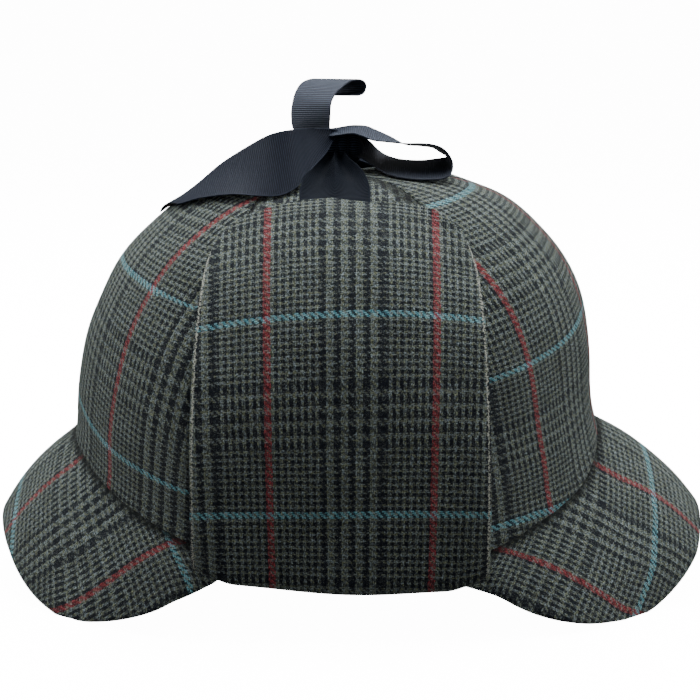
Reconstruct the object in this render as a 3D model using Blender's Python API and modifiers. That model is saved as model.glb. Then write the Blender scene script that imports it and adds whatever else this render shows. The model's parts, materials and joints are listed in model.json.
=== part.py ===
"""A deerstalker hat of checked tweed, with its ear flaps folded up over the crown and tied
there by a bow of grosgrain ribbon.

Units are metres. +X is the front, +Z is up, and the hat stands on z = 0 as it would on a
table, on the four low corners of its visors. The wearer's right side is at -Y.
"""
import math
from bisect import bisect_right

import bmesh
import bpy
from mathutils import Vector

MM = 0.001

# Driving dimensions of the crown. Reaches are measured from the middle of the head.
CROWN_CENTRE_X = -7.0 * MM
CROWN_FRONT = 103.3 * MM
CROWN_BACK = 103.6 * MM
CROWN_HALF_WIDTH = 82.0 * MM
CROWN_TOP = 163.0 * MM
SIDE_RIM = 24.5 * MM
CROWN_WALL = 2.0 * MM
PANEL_PUFF = 1.4 * MM
PANELS_PER_SIDE = 3
SEAM_GAP = 0.55 * MM
PANEL_TIP_ANGLE = 89.6

# Driving dimensions of the visors
VISOR_WALL = 3.2 * MM
FRONT_VISOR_REACH = 43.5 * MM
FRONT_VISOR_DROP = 48.2 * MM
BACK_VISOR_REACH = 32.2 * MM
BACK_VISOR_DROP = 50.0 * MM
VISOR_GAP = 0.7 * MM
VISOR_CAMBER = 0.068

# Driving dimensions of the ear flaps
FLAP_WALL = 3.2 * MM
FLAP_HALF_WIDTH = 51.8 * MM
FLAP_CENTRE_X = -3.3 * MM
FLAP_BOTTOM = 17.8 * MM
FLAP_CORNER_RISE = 5.0 * MM
FLAP_TIP_ANGLE = 71.5
FLAP_GAP = 0.5 * MM
FLAP_STANDOFF = 12.0 * MM
FLAP_STANDOFF_POWER = 2.5
FLAP_FOLD_RADIUS = 4.5 * MM
LIP_FULL_SHARE = 0.5
LIP_TAPER_SHARE = 0.3

# Driving dimensions of the ribbon and its bow
RIBBON_WIDTH = 25.0 * MM
RIBBON_WALL = 1.0 * MM
RIBBON_CLEARANCE = 0.9 * MM
ROOT_PLEAT = 0.8 * MM
KNOT_X = -3.0 * MM
KNOT_LIFT = 8.2 * MM
KNOT_RADIUS = 5.1 * MM
KNOT_HALF_LENGTH = 5.0 * MM
KNOT_WALL = 2.4 * MM
KNOT_CLEARANCE = 0.5 * MM
BOW_HEIGHT = 36.6 * MM
LOOP_REACH = 43.5 * MM
TAIL_REACH = 71.0 * MM

# Facets of each kind of piece, across it and then along it
PANEL_FACETS = (10, 12)
VISOR_FACETS = (28, 6)
FLAP_FACETS = (14, 14)
LIP_FACETS = 4
FLAP_TIP_CROWDING = 1.7
STRIP_FACETS = 6
ROOT_FACETS = 12
LOOP_FACETS = 36
TAIL_FACETS = 24
STANDING_FACETS = 18
KNOT_SIDES = 12

# The crown's outline: dome angle in degrees, then the shares of the front reach, the back
# reach and the half width that it has there. The sine of the angle is the height share.
CROWN_ROWS = (
    (0.0, 1.070, 0.965, 1.000),
    (10.0, 1.062, 0.980, 1.010),
    (20.0, 0.998, 0.988, 1.005),
    (30.0, 0.992, 0.958, 0.970),
    (40.0, 0.963, 0.889, 0.900),
    (50.0, 0.884, 0.803, 0.790),
    (58.0, 0.793, 0.700, 0.680),
    (66.0, 0.688, 0.600, 0.560),
    (74.0, 0.568, 0.505, 0.430),
    (82.0, 0.350, 0.300, 0.260),
    (90.0, 0.000, 0.000, 0.000),
)

# The rim's rise: azimuth from the front in degrees, share of the crown's height
RIM_ROWS = (
    (0.0, 0.290), (10.0, 0.279), (17.0, 0.247), (24.0, 0.208), (31.0, 0.170), (40.0, 0.134),
    (49.0, 0.095), (57.0, 0.060), (74.0, 0.014), (90.0, 0.000), (106.0, 0.020),
    (120.0, 0.074), (135.0, 0.135), (148.0, 0.190), (158.0, 0.232), (168.0, 0.257),
    (180.0, 0.264),
)

# A visor's outer edge: azimuth from the visor's middle, share of its reach, heading in
# degrees away from the middle, share of the drop
FRONT_VISOR_ROWS = (
    (0.0, 1.00, 0.0, 0.71), (8.0, 1.00, 4.0, 0.76), (16.0, 0.95, 13.0, 0.90),
    (24.0, 0.83, 17.0, 0.985), (32.0, 0.72, 19.0, 0.975), (40.0, 0.60, 25.0, 0.865),
    (48.0, 0.50, 35.0, 0.71), (56.0, 0.35, 43.0, 0.49), (61.0, 0.22, 48.0, 0.30),
    (64.0, 0.09, 50.0, 0.12),
)
BACK_VISOR_ROWS = (
    (0.0, 1.00, 0.0, 0.66), (8.0, 0.98, 5.0, 0.71), (16.0, 0.90, 18.0, 0.87),
    (24.0, 0.76, 26.0, 0.985), (32.0, 0.62, 33.0, 1.00), (40.0, 0.50, 45.0, 0.90),
    (48.0, 0.43, 60.0, 0.71), (56.0, 0.34, 72.0, 0.48), (61.0, 0.24, 78.0, 0.28),
    (64.0, 0.10, 80.0, 0.11),
)

# An ear flap from its fold to its tip: length share, share of the half width, share of the
# stand-off at its side edges, lift of its middle in shares of the ribbon's room
FLAP_ROWS = (
    (0.00, 1.00, 1.00, 0.0), (0.20, 1.00, 0.95, 0.0), (0.40, 0.99, 0.60, 0.0),
    (0.60, 0.96, 0.20, 0.0), (0.75, 0.91, 0.07, 0.0), (0.86, 0.82, 0.05, 0.3),
    (0.925, 0.71, 0.05, 0.8), (0.965, 0.56, 0.05, 1.0), (0.985, 0.42, 0.05, 1.0),
    (1.00, 0.26, 0.05, 1.0),
)

# A strip's stations, from one end to the other: x, y and lift of one selvedge, then of the
# other. x and y are shares of the strip's own reach and of the ribbon's width, and the lift
# above the crown is a share of the bow's height.
NEAR_ROOT_ROWS = (
    (-0.74, -1.62, 0.00, 0.30, -1.58, 0.00),
    (-0.74, -1.40, 0.00, 0.29, -1.37, 0.00),
    (-0.69, -1.15, 0.01, 0.25, -1.12, 0.01),
    (-0.58, -0.84, 0.02, 0.14, -0.82, 0.02),
    (-0.46, -0.52, 0.03, 0.05, -0.50, 0.03),
    (-0.34, -0.16, 0.07, 0.00, -0.16, 0.07),
)
FAR_ROOT_ROWS = (
    (-0.56, 1.60, 0.00, 0.46, 1.60, 0.00),
    (-0.55, 1.38, 0.00, 0.46, 1.38, 0.00),
    (-0.40, 1.00, 0.01, 0.44, 1.00, 0.01),
    (-0.18, 0.68, 0.02, 0.44, 0.68, 0.02),
    (0.06, 0.42, 0.03, 0.44, 0.42, 0.03),
    (0.24, 0.20, 0.10, 0.42, 0.20, 0.10),
    (0.26, 0.04, 0.17, 0.40, 0.04, 0.17),
)
LOOP_ROWS = (
    (0.10, -0.12, 0.26, 0.10, 0.12, 0.26),
    (0.17, -0.24, 0.41, 0.16, 0.24, 0.41),
    (0.29, -0.40, 0.39, 0.28, 0.38, 0.36),
    (0.49, -0.48, 0.37, 0.50, 0.46, 0.24),
    (0.72, -0.48, 0.40, 0.74, 0.44, 0.22),
    (0.86, -0.49, 0.36, 0.88, 0.46, 0.20),
    (0.94, -0.50, 0.25, 0.96, 0.47, 0.16),
    (0.93, -0.50, 0.12, 0.95, 0.48, 0.07),
    (0.84, -0.50, 0.03, 0.86, 0.48, 0.02),
    (0.62, -0.50, 0.01, 0.62, 0.49, 0.01),
    (0.42, -0.48, 0.01, 0.42, 0.48, 0.02),
    (0.27, -0.36, 0.06, 0.27, 0.38, 0.08),
    (0.15, -0.20, 0.14, 0.15, 0.22, 0.15),
    (0.10, -0.12, 0.18, 0.10, 0.12, 0.18),
)
TAIL_ROWS = (
    (-0.12, -0.10, 0.12, -0.12, 0.06, 0.28),
    (-0.17, -0.40, 0.15, -0.16, -0.10, 0.42),
    (-0.24, -0.95, 0.04, -0.23, -0.60, 0.50),
    (-0.36, -1.36, 0.00, -0.35, -1.02, 0.60),
    (-0.50, -1.34, 0.00, -0.49, -0.86, 0.52),
    (-0.69, -1.18, 0.00, -0.69, -0.30, 0.22),
    (-0.84, -1.02, 0.00, -0.88, -0.04, 0.00),
    (-0.93, -0.90, 0.00, -1.09, 0.00, 0.00),
)
STANDING_ROWS = (
    (-0.24, 0.12, 0.33, -0.02, 0.02, 0.33),
    (-0.58, 0.42, 0.37, -0.24, 0.06, 0.38),
    (-0.87, 0.62, 0.41, -0.31, 0.04, 0.43),
    (-0.94, 0.66, 0.54, -0.31, -0.02, 0.54),
    (-0.92, 0.67, 0.68, -0.29, 0.00, 0.67),
    (-0.87, 0.71, 0.80, -0.22, 0.06, 0.77),
    (-0.79, 0.79, 0.89, -0.12, 0.15, 0.84),
    (-0.68, 0.90, 0.94, 0.00, 0.27, 0.90),
    (-0.54, 1.02, 0.96, 0.13, 0.42, 0.92),
    (-0.45, 1.13, 0.95, 0.23, 0.54, 0.90),
    (-0.42, 1.17, 0.90, 0.26, 0.57, 0.85),
)

CLOTH_COLOUR = (0.105, 0.100, 0.078)
RIBBON_COLOUR = (0.020, 0.023, 0.028)

PARTS = "deerstalker_hat"
GUIDES = "joined_shapes"


def clear_scene():
    for item in list(bpy.data.objects):
        bpy.data.objects.remove(item, do_unlink=True)


def make_collection(name):
    collection = bpy.data.collections.get(name) or bpy.data.collections.new(name)
    if collection.name not in bpy.context.scene.collection.children:
        bpy.context.scene.collection.children.link(collection)
    return collection


def make_material(name, colour, roughness):
    material = bpy.data.materials.new(name)
    material.use_nodes = True
    shader = material.node_tree.nodes["Principled BSDF"]
    shader.inputs["Base Color"].default_value = (*colour, 1.0)
    shader.inputs["Roughness"].default_value = roughness
    shader.inputs["Metallic"].default_value = 0.0
    return material


def smooth_row(rows, key):
    """The columns of a table at a key between its rows, by a smooth curve through them."""
    keys = [row[0] for row in rows]
    key = min(max(key, keys[0]), keys[-1])
    low = min(bisect_right(keys, key) - 1, len(keys) - 2)
    before, after = max(low - 1, 0), min(low + 2, len(keys) - 1)
    span = keys[low + 1] - keys[low]
    t = (key - keys[low]) / span
    values = []
    for a, b, c, d in zip(rows[before][1:], rows[low][1:], rows[low + 1][1:], rows[after][1:]):
        slope_low = (c - a) / (keys[low + 1] - keys[before]) * span
        slope_high = (d - b) / (keys[after] - keys[low]) * span
        values.append((2 * t**3 - 3 * t**2 + 1) * b + (t**3 - 2 * t**2 + t) * slope_low
                      + (3 * t**2 - 2 * t**3) * c + (t**3 - t**2) * slope_high)
    return values


# The crown as a surface

def height_at(angle):
    return SIDE_RIM + (CROWN_TOP - SIDE_RIM) * math.sin(math.radians(angle))


def angle_at(height):
    share = (height - SIDE_RIM) / (CROWN_TOP - SIDE_RIM)
    return math.degrees(math.asin(min(max(share, -1.0), 1.0)))


def crown_reaches(angle):
    """Front reach, back reach and half width of the crown at a dome angle."""
    front, back, side = smooth_row(CROWN_ROWS, angle)
    return CROWN_FRONT * front, CROWN_BACK * back, CROWN_HALF_WIDTH * side


def panel_puff(turn, angle):
    """How far the crown swells between its seams, at an azimuth in radians."""
    swell = abs(math.sin(PANELS_PER_SIDE * turn)) * math.sin(2.0 * math.radians(angle))
    return PANEL_PUFF * max(swell, 0.0)


def crown_point(azimuth, angle):
    """A point of the crown's outer face. Azimuth is in degrees from the front, towards +Y."""
    front, back, side = crown_reaches(angle)
    turn = math.radians(azimuth)
    reach = front if math.cos(turn) > 0.0 else back
    puff = panel_puff(turn, angle)
    return Vector((CROWN_CENTRE_X + (reach + puff) * math.cos(turn),
                   (side + puff) * math.sin(turn), height_at(angle)))


def crown_normal(azimuth, angle):
    """The outward direction of the crown's outer face."""
    step = 0.5
    around = crown_point(azimuth + step, angle) - crown_point(azimuth - step, angle)
    upward = crown_point(azimuth, angle + step) - crown_point(azimuth, angle - step)
    return around.cross(upward).normalized()


def crown_height(x, y):
    """Height of the crown's top face over a place in plan."""
    low, high = 0.0, 90.0
    for _ in range(40):
        middle = (low + high) / 2.0
        front, back, side = crown_reaches(middle)
        reach = front if x > CROWN_CENTRE_X else back
        puff = panel_puff(math.atan2(y, x - CROWN_CENTRE_X), middle)
        outward = math.hypot((x - CROWN_CENTRE_X) / (reach + puff), y / (side + puff))
        if outward > 1.0:
            high = middle
        else:
            low = middle
    return height_at(low)


def rim_height(azimuth):
    share, = smooth_row(RIM_ROWS, abs((azimuth + 180.0) % 360.0 - 180.0))
    return SIDE_RIM + (CROWN_TOP - SIDE_RIM) * share


# Open surfaces, given their thickness by Solidify

def make_sheet(name, facets, place, wall, offset, material, collection):
    """A grid whose points go where place(column share, row share) says, with a thickness."""
    mesh = bpy.data.meshes.new(name)
    grid = bmesh.new()
    bmesh.ops.create_grid(grid, x_segments=facets[0], y_segments=facets[1], size=0.5)
    for vertex in grid.verts:
        vertex.co = place(vertex.co.x + 0.5, vertex.co.y + 0.5)
    grid.to_mesh(mesh)
    grid.free()
    mesh.shade_smooth()
    item = bpy.data.objects.new(name, mesh)
    item.data.materials.append(material)
    collection.objects.link(item)
    solidify = item.modifiers.new("wall", "SOLIDIFY")
    solidify.thickness = wall
    solidify.offset = offset
    return item


def join_shape(item, other):
    """Adds a guide's shape to an object. The guide itself stays out of the model."""
    other.hide_render = True
    other.display_type = "WIRE"
    joined = item.modifiers.new("join " + other.name, "BOOLEAN")
    joined.operation = "UNION"
    joined.solver = "EXACT"
    joined.object = other


def make_panel(name, start, end, material, collection):
    """One gore of the crown, from its seam at start to its seam at end."""
    def place(across, up):
        azimuth = start + (end - start) * across
        bottom = angle_at(rim_height(azimuth))
        angle = bottom + (PANEL_TIP_ANGLE - bottom) * up
        tangent = crown_point(azimuth + 0.5, angle) - crown_point(azimuth - 0.5, angle)
        inset = (SEAM_GAP / 2.0) / max(tangent.length, SEAM_GAP / 4.0)
        return crown_point(azimuth + inset * (1.0 - 2.0 * across), angle)

    return make_sheet(name, PANEL_FACETS, place, CROWN_WALL, -1.0, material, collection)


def make_visor(name, middle, rows, reach, drop, material, collection):
    """A visor, sewn under the crown's rim around the azimuth of its middle."""
    half_span = rows[-1][0]

    def place(across, inward):
        out = 1.0 - inward
        offset = half_span * (2.0 * across - 1.0)
        azimuth = middle + offset
        reach_share, heading, drop_share = smooth_row(rows, abs(offset))
        root = crown_point(azimuth, angle_at(rim_height(azimuth)))
        root.z -= VISOR_GAP
        turn = math.radians(middle + math.copysign(heading, offset))
        chord_out, chord_down = reach * reach_share, drop * drop_share
        bulge = VISOR_CAMBER * 4.0 * out * (1.0 - out)
        along = chord_out * out + chord_down * bulge
        down = chord_down * out - chord_out * bulge
        return root + Vector((math.cos(turn) * along, math.sin(turn) * along, -down))

    return make_sheet(name, VISOR_FACETS, place, VISOR_WALL, -1.0, material, collection)


def flap_face(side, across, length):
    """A point of a flap's outer face. across runs from -1 at the back to 1 at the front."""
    width, standoff, lift = smooth_row(FLAP_ROWS, length)
    x = FLAP_CENTRE_X + FLAP_HALF_WIDTH * width * across
    bottom = angle_at(FLAP_BOTTOM + FLAP_CORNER_RISE * across**2 + FLAP_FOLD_RADIUS)
    angle = bottom + (FLAP_TIP_ANGLE - bottom) * length
    front, back, _ = crown_reaches(angle)
    reach = front if x > CROWN_CENTRE_X else back
    azimuth = side * math.degrees(math.acos((x - CROWN_CENTRE_X) / reach))
    surface = crown_point(azimuth, angle)
    middle_out = crown_normal(side * 90.0, angle)
    room = lift * (RIBBON_WALL + RIBBON_CLEARANCE)
    return (surface + crown_normal(azimuth, angle) * (FLAP_WALL + FLAP_GAP + room)
            + middle_out * FLAP_STANDOFF * standoff * abs(across) ** FLAP_STANDOFF_POWER)


def make_flap(name, side, material, collection):
    """An ear flap: a lip under the crown's rim, a fold, and the face that lies on the crown."""
    columns, face_rows = FLAP_FACETS
    lip_length = FLAP_WALL + FLAP_GAP + CROWN_WALL - FLAP_FOLD_RADIUS

    def place(column, row):
        across = side * (1.0 - 2.0 * column)
        step = round(row * (LIP_FACETS + face_rows))
        if step >= LIP_FACETS:
            rest = 1.0 - (step - LIP_FACETS) / face_rows
            return flap_face(side, across, 1.0 - rest ** FLAP_TIP_CROWDING)
        corner = flap_face(side, across, 0.0)
        past_full = (abs(across) - LIP_FULL_SHARE) / LIP_TAPER_SHARE
        taper = 1.0 - min(max(past_full, 0.0), 1.0)
        if step == 0:
            inward = FLAP_FOLD_RADIUS + lip_length * taper
            return corner + Vector((0.0, -side * inward, -FLAP_FOLD_RADIUS))
        turn = math.radians(90.0 * (step - 1) / (LIP_FACETS - 1))
        return corner + Vector((0.0, -side * FLAP_FOLD_RADIUS * (1.0 - math.sin(turn)),
                                -FLAP_FOLD_RADIUS * math.cos(turn)))

    facets = (columns, LIP_FACETS + face_rows)
    return make_sheet(name, facets, place, FLAP_WALL, -1.0, material, collection)


def make_strip(name, rows, reach, stations, pleats, material, collection):
    """A stretch of ribbon through the stations of its two selvedges."""
    keyed = [(index / (len(rows) - 1), *row) for index, row in enumerate(rows)]

    def place(along, across):
        x1, y1, lift1, x2, y2, lift2 = smooth_row(keyed, along)
        x = reach * (x1 + (x2 - x1) * across)
        y = RIBBON_WIDTH * (y1 + (y2 - y1) * across)
        lift = BOW_HEIGHT * (lift1 + (lift2 - lift1) * across)
        wave = pleats * along * math.sin(4.0 * math.pi * across) ** 2
        clear = RIBBON_WALL / 2.0 + RIBBON_CLEARANCE
        return Vector((x, y, crown_height(x, y) + clear + max(lift, 0.0) + wave))

    facets = (stations, STRIP_FACETS)
    return make_sheet(name, facets, place, RIBBON_WALL, 0.0, material, collection)


def knot_centre():
    return Vector((KNOT_X, 0.0, CROWN_TOP + KNOT_LIFT))


def make_knot_band(material, collection):
    """The turn of ribbon that goes round the knot, as a stretched ring about the X axis."""
    bpy.ops.mesh.primitive_torus_add(
        major_segments=20, minor_segments=8, major_radius=KNOT_RADIUS,
        minor_radius=KNOT_WALL / 2.0, location=knot_centre(), rotation=(0.0, math.pi / 2.0, 0.0))
    band = bpy.context.active_object
    band.name = "knot_band"
    band.scale = (1.0, 1.0, KNOT_HALF_LENGTH / (KNOT_WALL / 2.0))
    bpy.ops.object.transform_apply(location=False, rotation=True, scale=True)
    return move_to(band, material, collection)


def make_knot_core(material, collection):
    """The gathered ribbon inside the knot's band, which the loop and the long tail leave."""
    radius = KNOT_RADIUS - KNOT_WALL / 2.0 - KNOT_CLEARANCE
    length = 2.0 * (KNOT_HALF_LENGTH + 3.0 * KNOT_WALL / 2.0)
    bpy.ops.mesh.primitive_cylinder_add(
        vertices=KNOT_SIDES, radius=radius, depth=length, location=knot_centre(),
        rotation=(0.0, math.pi / 2.0, 0.0))
    core = bpy.context.active_object
    core.name = "knot_core"
    return move_to(core, material, collection)


def move_to(item, material, collection):
    for holder in list(item.users_collection):
        holder.objects.unlink(item)
    collection.objects.link(item)
    item.data.materials.append(material)
    return item


def make_table_cutter(collection):
    """The table's room, which flattens the visors' cloth where the hat rests."""
    size = 0.6
    depth = 0.02
    bpy.ops.mesh.primitive_cube_add(size=1.0, location=(0.0, 0.0, -depth / 2.0))
    cutter = bpy.context.active_object
    cutter.name = "table_room"
    cutter.scale = (size, size, depth)
    bpy.ops.object.transform_apply(location=False, rotation=False, scale=True)
    cutter.hide_render = True
    cutter.display_type = "WIRE"
    for holder in list(cutter.users_collection):
        holder.objects.unlink(cutter)
    collection.objects.link(cutter)
    return cutter


def main():
    clear_scene()
    parts = make_collection(PARTS)
    guides = make_collection(GUIDES)

    seams = (0.0, 60.0, 120.0, 180.0)
    places = ("front", "side", "back")
    for side, side_name in ((1.0, "left"), (-1.0, "right")):
        for place_name, start, end in zip(places, seams, seams[1:]):
            name = f"crown_panel_{place_name}_{side_name}"
            first, last = (start, end) if side > 0.0 else (-end, -start)
            make_panel(name, first, last, make_material(name, CLOTH_COLOUR, 0.9), parts)

    table = make_table_cutter(guides)
    visors = (("visor_front", 0.0, FRONT_VISOR_ROWS, FRONT_VISOR_REACH, FRONT_VISOR_DROP),
              ("visor_back", 180.0, BACK_VISOR_ROWS, BACK_VISOR_REACH, BACK_VISOR_DROP))
    for name, middle, rows, reach, drop in visors:
        cloth = make_material(name, CLOTH_COLOUR, 0.9)
        visor = make_visor(name, middle, rows, reach, drop, cloth, parts)
        rest = visor.modifiers.new("rest on the table", "BOOLEAN")
        rest.operation = "DIFFERENCE"
        rest.solver = "EXACT"
        rest.object = table

    for name, side in (("ear_flap_left", 1.0), ("ear_flap_right", -1.0)):
        make_flap(name, side, make_material(name, CLOTH_COLOUR, 0.9), parts)

    silk = make_material("ribbon_right", RIBBON_COLOUR, 0.5)
    near_ribbon = make_strip("ribbon_right", NEAR_ROOT_ROWS, RIBBON_WIDTH, ROOT_FACETS,
                             ROOT_PLEAT, silk, parts)
    band = make_knot_band(silk, guides)
    standing = make_strip("standing_tail", STANDING_ROWS, RIBBON_WIDTH, STANDING_FACETS,
                          0.0, silk, guides)
    join_shape(near_ribbon, band)
    join_shape(near_ribbon, standing)

    silk = make_material("ribbon_left", RIBBON_COLOUR, 0.5)
    far_ribbon = make_strip("ribbon_left", FAR_ROOT_ROWS, RIBBON_WIDTH, ROOT_FACETS,
                            ROOT_PLEAT, silk, parts)
    core = make_knot_core(silk, guides)
    loop = make_strip("loop", LOOP_ROWS, LOOP_REACH, LOOP_FACETS, 0.0, silk, guides)
    tail = make_strip("long_tail", TAIL_ROWS, TAIL_REACH, TAIL_FACETS, 0.0, silk, guides)
    for shape in (core, loop, tail):
        join_shape(far_ribbon, shape)


main()
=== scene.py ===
# %% [markdown]
# A deerstalker hat, dressed.
# The frame holds the hat's solids at their real size. This lesson gives each of them its
# cloth: a wool tweed with a glen check for the crown, the visors and the ear flaps, and a
# black grosgrain ribbon for the bow that holds the flaps up.

import json
import math

import bpy
import numpy as np
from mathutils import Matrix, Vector
from mathutils.bvhtree import BVHTree

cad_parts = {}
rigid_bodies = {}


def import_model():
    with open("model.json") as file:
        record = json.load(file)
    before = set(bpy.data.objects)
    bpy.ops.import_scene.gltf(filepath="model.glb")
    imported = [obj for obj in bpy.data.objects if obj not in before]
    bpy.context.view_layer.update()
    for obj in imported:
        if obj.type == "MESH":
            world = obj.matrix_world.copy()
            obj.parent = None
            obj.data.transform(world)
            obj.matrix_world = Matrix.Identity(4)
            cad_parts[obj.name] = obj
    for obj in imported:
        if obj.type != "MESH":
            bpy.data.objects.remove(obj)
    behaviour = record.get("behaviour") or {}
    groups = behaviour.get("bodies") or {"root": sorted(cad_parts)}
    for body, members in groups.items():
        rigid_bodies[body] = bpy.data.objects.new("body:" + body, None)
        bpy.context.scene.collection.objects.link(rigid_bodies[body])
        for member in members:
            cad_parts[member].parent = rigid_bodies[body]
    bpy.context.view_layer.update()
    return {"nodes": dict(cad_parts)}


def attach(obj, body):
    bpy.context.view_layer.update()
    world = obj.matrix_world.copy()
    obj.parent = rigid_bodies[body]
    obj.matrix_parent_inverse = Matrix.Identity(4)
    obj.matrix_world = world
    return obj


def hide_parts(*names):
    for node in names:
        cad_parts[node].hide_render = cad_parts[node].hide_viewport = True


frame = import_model()
print("solids:", sorted(frame["nodes"]))

# %% [markdown]
# The camera comes first, because everything is judged through it. The hat was photographed
# from its right side, a little from above, with a long lens. The aim is a point inside the
# crown, and the distance and the lens give the crown and the near flap their true
# difference in scale.

# %% Camera
MM = 0.001
AIM = Vector((0.0, 0.0, 90.9 * MM))
CAMERA_DISTANCE = 632 * MM
CAMERA_RISE = math.radians(11.75)
LENS = 80.9

away = Vector((0.0, -math.cos(CAMERA_RISE), math.sin(CAMERA_RISE)))
bpy.ops.object.camera_add(
    location=AIM + away * CAMERA_DISTANCE, rotation=(math.pi / 2 - CAMERA_RISE, 0.0, 0.0))
camera = bpy.context.object
camera.name = "camera"
camera.data.lens = LENS
camera.data.clip_start = 0.01
bpy.context.scene.camera = camera
print("camera height", round(camera.location.z / MM), "mm")

# %% [markdown]
# Each material is a few nodes, so one small helper adds a node, sets its values, links its
# inputs and hands back the output that the next node needs. Colours are written as they look
# on a screen, in hex, and turned to the linear values that the renderer works in.

# %% Helpers for materials
MATH, VECTOR_MATH, MIX = "ShaderNodeMath", "ShaderNodeVectorMath", "ShaderNodeMix"
NOISE, RANGE, UV_MAP = "ShaderNodeTexNoise", "ShaderNodeMapRange", "ShaderNodeUVMap"
ATTRIBUTE, SEPARATE, BUMP = "ShaderNodeAttribute", "ShaderNodeSeparateXYZ", "ShaderNodeBump"
# A Mix node set to colours takes its share, first and second at inputs 0, 6 and 7.
OF_COLOURS = {"data_type": "RGBA", "out": 2}


def linear(hex_colour):
    """An sRGB hex colour as linear red, green, blue and alpha."""
    values = [int(hex_colour[i:i + 2], 16) / 255 for i in (1, 3, 5)]
    return [c / 12.92 if c <= 0.04045 else ((c + 0.055) / 1.055) ** 2.4 for c in values] + [1.0]


def add_node(tree, kind, inputs=None, out=0, **settings):
    """Adds a node and returns one output. An input is a value, or the socket that feeds it."""
    node = tree.nodes.new(kind)
    for name, value in settings.items():
        setattr(node, name, value)
    for key, value in (inputs or {}).items():
        if isinstance(value, bpy.types.NodeSocket):
            tree.links.new(value, node.inputs[key])
        else:
            node.inputs[key].default_value = value
    return node.outputs[out]


def new_material(name):
    """An empty material with its shader, ready for its colour."""
    material = bpy.data.materials.new(name)
    material.use_nodes = True
    return material, material.node_tree, material.node_tree.nodes["Principled BSDF"]


print("red yarn, linear:", [round(c, 3) for c in linear("#B8545A")])

# %% [markdown]
# The hat stands on a white table that is lit from inside, as a light table for catalogue
# pictures is, so the ground is white and throws little shade. A plane does for it, with its
# edges extruded up to walls far outside the view, so that no horizon shows. It could light
# the hat too, but then its underside would be too bright, so the hat doesn't see its glow.

# %% Floor
FLOOR_SIZE = 60.0
WALL_HEIGHT = 30.0
FLOOR_GLOW = 14.0
bpy.ops.object.select_all(action="DESELECT")
bpy.ops.mesh.primitive_plane_add(size=FLOOR_SIZE)
floor = bpy.context.object
floor.name = "floor"
bpy.ops.object.mode_set(mode="EDIT")
bpy.ops.mesh.select_mode(type="EDGE")
bpy.ops.mesh.extrude_edges_move(TRANSFORM_OT_translate={"value": (0.0, 0.0, WALL_HEIGHT)})
bpy.ops.object.mode_set(mode="OBJECT")
# Opal acrylic: it glows evenly, and its satin face still takes a faint contact shadow.
opal, tree, shader = new_material("opal_acrylic_light_table")
shader.inputs["Base Color"].default_value = linear("#FFFFFF")
shader.inputs["Roughness"].default_value = 0.9
shader.inputs["Emission Color"].default_value = linear("#FFFFFF")
shader.inputs["Emission Strength"].default_value = FLOOR_GLOW
floor.data.materials.append(opal)
floor.visible_diffuse = False
floor.visible_glossy = False
print("floor:", floor.name, FLOOR_SIZE, "m, walls", WALL_HEIGHT, "m")

# %% [markdown]
# The light on the hat comes from a broad soft box overhead and a smaller one at each side.
# The side that faces the camera gets the least, from one small box near the table and from
# the pale air of the studio, so the cloth there is darker, as in the photograph.

# %% Lights
STUDIO_AIR = 0.18


def add_softbox(name, place, size, power):
    """A square area light at a place, turned to the hat."""
    bpy.ops.object.light_add(type="AREA", location=place)
    light = bpy.context.object
    light.name = name
    light.data.size = size
    light.data.energy = power
    light.rotation_euler = (AIM - Vector(place)).to_track_quat("-Z", "Y").to_euler()
    return light


add_softbox("light_above", (0.0, 0.25, 1.4), 1.2, 37.0)
add_softbox("light_left", (-1.3, 0.1, 0.75), 1.0, 18.0)
add_softbox("light_right", (1.3, 0.1, 0.75), 1.0, 19.0)
add_softbox("light_low", (0.0, -0.9, 0.06), 0.5, 0.6)

world = bpy.data.worlds.new("studio_air")
bpy.context.scene.world = world
world.use_nodes = True
world.node_tree.nodes["Background"].inputs["Color"].default_value = linear("#FFFFFF")
world.node_tree.nodes["Background"].inputs["Strength"].default_value = STUDIO_AIR

# %% [markdown]
# The tweed is a 2/2 twill: every thread passes over two and under two, one step further
# along in each row. The check comes from the order of the yarns alone. Four dark and four
# light threads in turn make the coarse bands, two and two the fine ones, and a red line of
# four threads runs down the middle of the fine warp bands, a turquoise one along the middle
# of the fine weft bands. So the material counts threads: it takes the cloth's own
# coordinates in millimetres from the piece's UV map, finds which warp and which weft thread
# cross there, and which of them is on top.

# %% Tweed: the order of its yarns
THREAD = 0.64            # millimetres from one thread to the next
COARSE_THREADS = 36
WARP_REPEAT = 92
WEFT_REPEAT = 112
LINE_THREADS = 4
CLOTH_UV = "cloth"


def yarn_order(tree, thread, repeat):
    """1 where a thread is light and 0 where it is dark, and 1 where it is in the line."""
    place = add_node(tree, MATH, {0: thread, 1: repeat}, operation="FLOORED_MODULO")
    coarse = add_node(tree, MATH, {0: place, 1: COARSE_THREADS}, operation="LESS_THAN")
    by_count = []
    for count in (2, 4):
        turn = add_node(tree, MATH, {0: place, 1: 2.0 * count}, operation="FLOORED_MODULO")
        by_count.append(add_node(tree, MATH, {0: turn, 1: count - 0.5}, operation="GREATER_THAN"))
    light = add_node(tree, MIX, {0: coarse, 2: by_count[0], 3: by_count[1]})
    middle = (COARSE_THREADS + repeat) / 2 - 0.5
    line = add_node(tree, MATH, {0: place, 1: middle, 2: LINE_THREADS / 2}, operation="COMPARE")
    return light, line


print("check:", round(WARP_REPEAT * THREAD, 1), "x", round(WEFT_REPEAT * THREAD, 1), "mm")

# %% [markdown]
# Wool that is spun by hand isn't even, so the threads wander by a third of their width. An
# image of woven cloth could stand in for all this, but it would blur when seen close and
# its lines couldn't be laid to the thread.

# %% Tweed: the threads that cross
WANDER_SCALE = 0.55
WANDER = 1.1

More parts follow.
